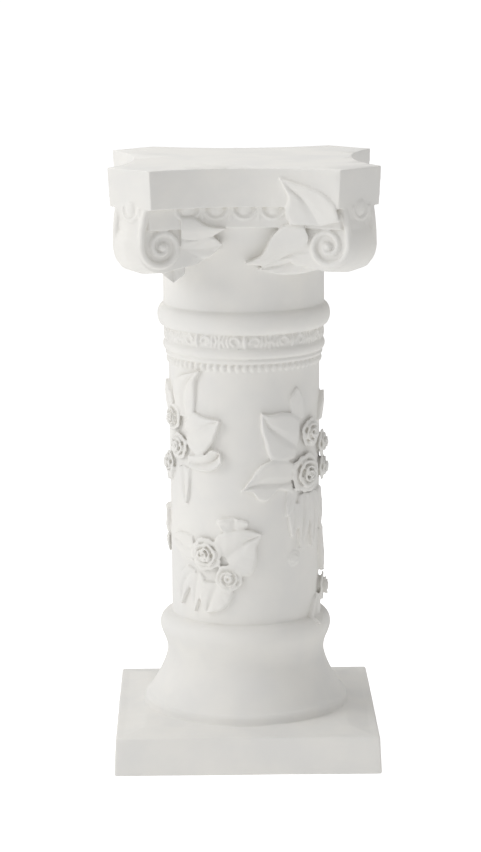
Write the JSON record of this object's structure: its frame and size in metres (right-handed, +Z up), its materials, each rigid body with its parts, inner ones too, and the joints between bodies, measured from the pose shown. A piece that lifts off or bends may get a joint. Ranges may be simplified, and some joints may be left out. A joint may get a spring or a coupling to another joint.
{
  "type": "column pedestal",
  "caption": "Free-standing cast column pedestal with a square plinth, turned shaft with rose sprays, beaded and scrolled bands, corner-scroll capital and a flat top slab with hollow sides.",
  "frame": {"origin": "middle of the plinth's flat underside, on the floor", "axes": "+Z up along the column, -Y towards the front that the picture shows, +X to the viewer's right"},
  "size_m": [0.31, 0.31, 0.7],
  "materials": {
    "cast_plaster": "matt off-white cast plaster or resin, with a faint olive-beige wash in the hollows"
  },
  "bodies": {
    "root": {"column_pedestal": "cast_plaster"}
  },
  "joints": []
}
